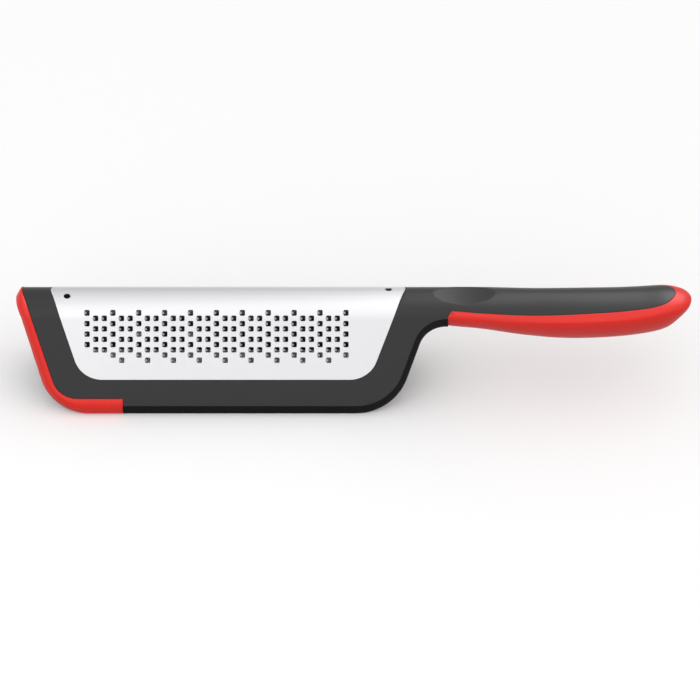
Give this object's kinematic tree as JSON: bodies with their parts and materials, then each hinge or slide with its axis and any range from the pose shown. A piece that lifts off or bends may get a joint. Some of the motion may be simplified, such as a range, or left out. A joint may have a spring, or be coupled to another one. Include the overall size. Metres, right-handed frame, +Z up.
{
  "type": "hand grater",
  "caption": "Tent-shaped hand grater: a steel sheet folded over a ridge, fine holes on one side and coarse on the other, in a black frame with a soft-grip handle",
  "frame": {"origin": "middle of the bounding box at the table plane the legs stand on", "axes": "+X along the ridge toward the handle, -Y the fine side, +Z up"},
  "size_m": [0.338, 0.054, 0.059],
  "materials": {
    "black_plastic": "fine satin texture",
    "steel_sheet": "satin stainless",
    "red_soft": "soft-touch matt"
  },
  "bodies": {
    "root": {"frame": "black_plastic", "grating_sheet": "steel_sheet", "front_liner": "black_plastic", "back_liner": "black_plastic", "tip_guard": "red_soft", "handle_under_shell": "black_plastic", "grip_cover": "red_soft"}
  },
  "joints": []
}
